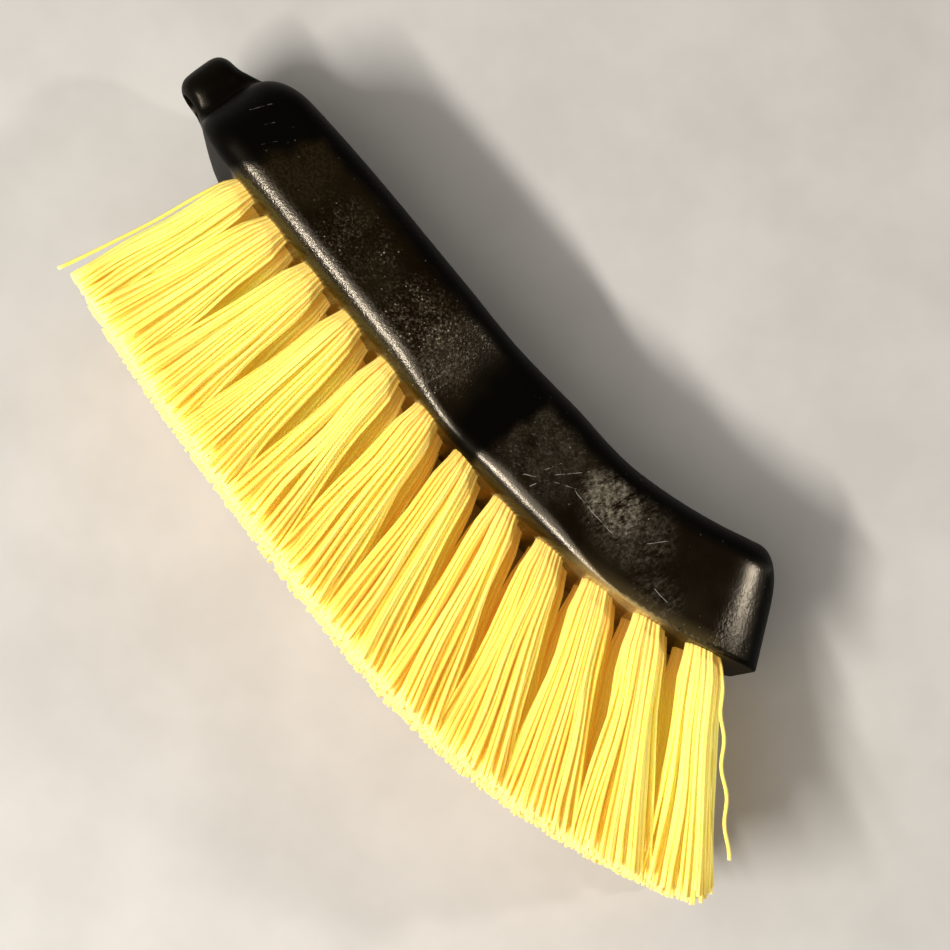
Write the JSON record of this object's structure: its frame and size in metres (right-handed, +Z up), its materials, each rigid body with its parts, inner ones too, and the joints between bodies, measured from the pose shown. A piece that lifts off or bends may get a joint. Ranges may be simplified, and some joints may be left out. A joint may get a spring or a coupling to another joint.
{
  "type": "scrub brush",
  "caption": "Scrub brush with a rocker-curved black plastic block, a hang lug and long splayed yellow bristle tufts, lying on its side.",
  "frame": {"origin": "the middle of the bounding box's bottom face, on the floor that the brush lies on", "axes": "+X from the hang lug to the toe, +Y from the bristle tips to the block's back, +Z up from the side that the brush lies on"},
  "size_m": [0.2502, 0.1016, 0.0615],
  "materials": {
    "black_plastic": "satin, finely grained, with light scuffs",
    "yellow_bristle": "satin"
  },
  "bodies": {
    "root": {"block": "black_plastic", "tuft_row1_01": "yellow_bristle", "tuft_row1_02": "yellow_bristle", "tuft_row1_03": "yellow_bristle", "tuft_row1_04": "yellow_bristle", "tuft_row1_05": "yellow_bristle", "tuft_row1_06": "yellow_bristle", "tuft_row1_07": "yellow_bristle", "tuft_row1_08": "yellow_bristle", "tuft_row1_09": "yellow_bristle", "tuft_row1_10": "yellow_bristle", "tuft_row1_11": "yellow_bristle", "tuft_row1_12": "yellow_bristle", "tuft_row2_01": "yellow_bristle", "tuft_row2_02": "yellow_bristle", "tuft_row2_03": "yellow_bristle", "tuft_row2_04": "yellow_bristle", "tuft_row2_05": "yellow_bristle", "tuft_row2_06": "yellow_bristle", "tuft_row2_07": "yellow_bristle", "tuft_row2_08": "yellow_bristle", "tuft_row2_09": "yellow_bristle", "tuft_row2_10": "yellow_bristle", "tuft_row2_11": "yellow_bristle", "tuft_row2_12": "yellow_bristle", "tuft_row3_01": "yellow_bristle", "tuft_row3_02": "yellow_bristle", "tuft_row3_03": "yellow_bristle", "tuft_row3_04": "yellow_bristle", "tuft_row3_05": "yellow_bristle", "tuft_row3_06": "yellow_bristle", "tuft_row3_07": "yellow_bristle", "tuft_row3_08": "yellow_bristle", "tuft_row3_09": "yellow_bristle", "tuft_row3_10": "yellow_bristle", "tuft_row3_11": "yellow_bristle", "tuft_row3_12": "yellow_bristle", "tuft_row4_01": "yellow_bristle", "tuft_row4_02": "yellow_bristle", "tuft_row4_03": "yellow_bristle", "tuft_row4_04": "yellow_bristle", "tuft_row4_05": "yellow_bristle", "tuft_row4_06": "yellow_bristle", "tuft_row4_07": "yellow_bristle", "tuft_row4_08": "yellow_bristle", "tuft_row4_09": "yellow_bristle", "tuft_row4_10": "yellow_bristle", "tuft_row4_11": "yellow_bristle", "tuft_row4_12": "yellow_bristle"}
  },
  "joints": []
}
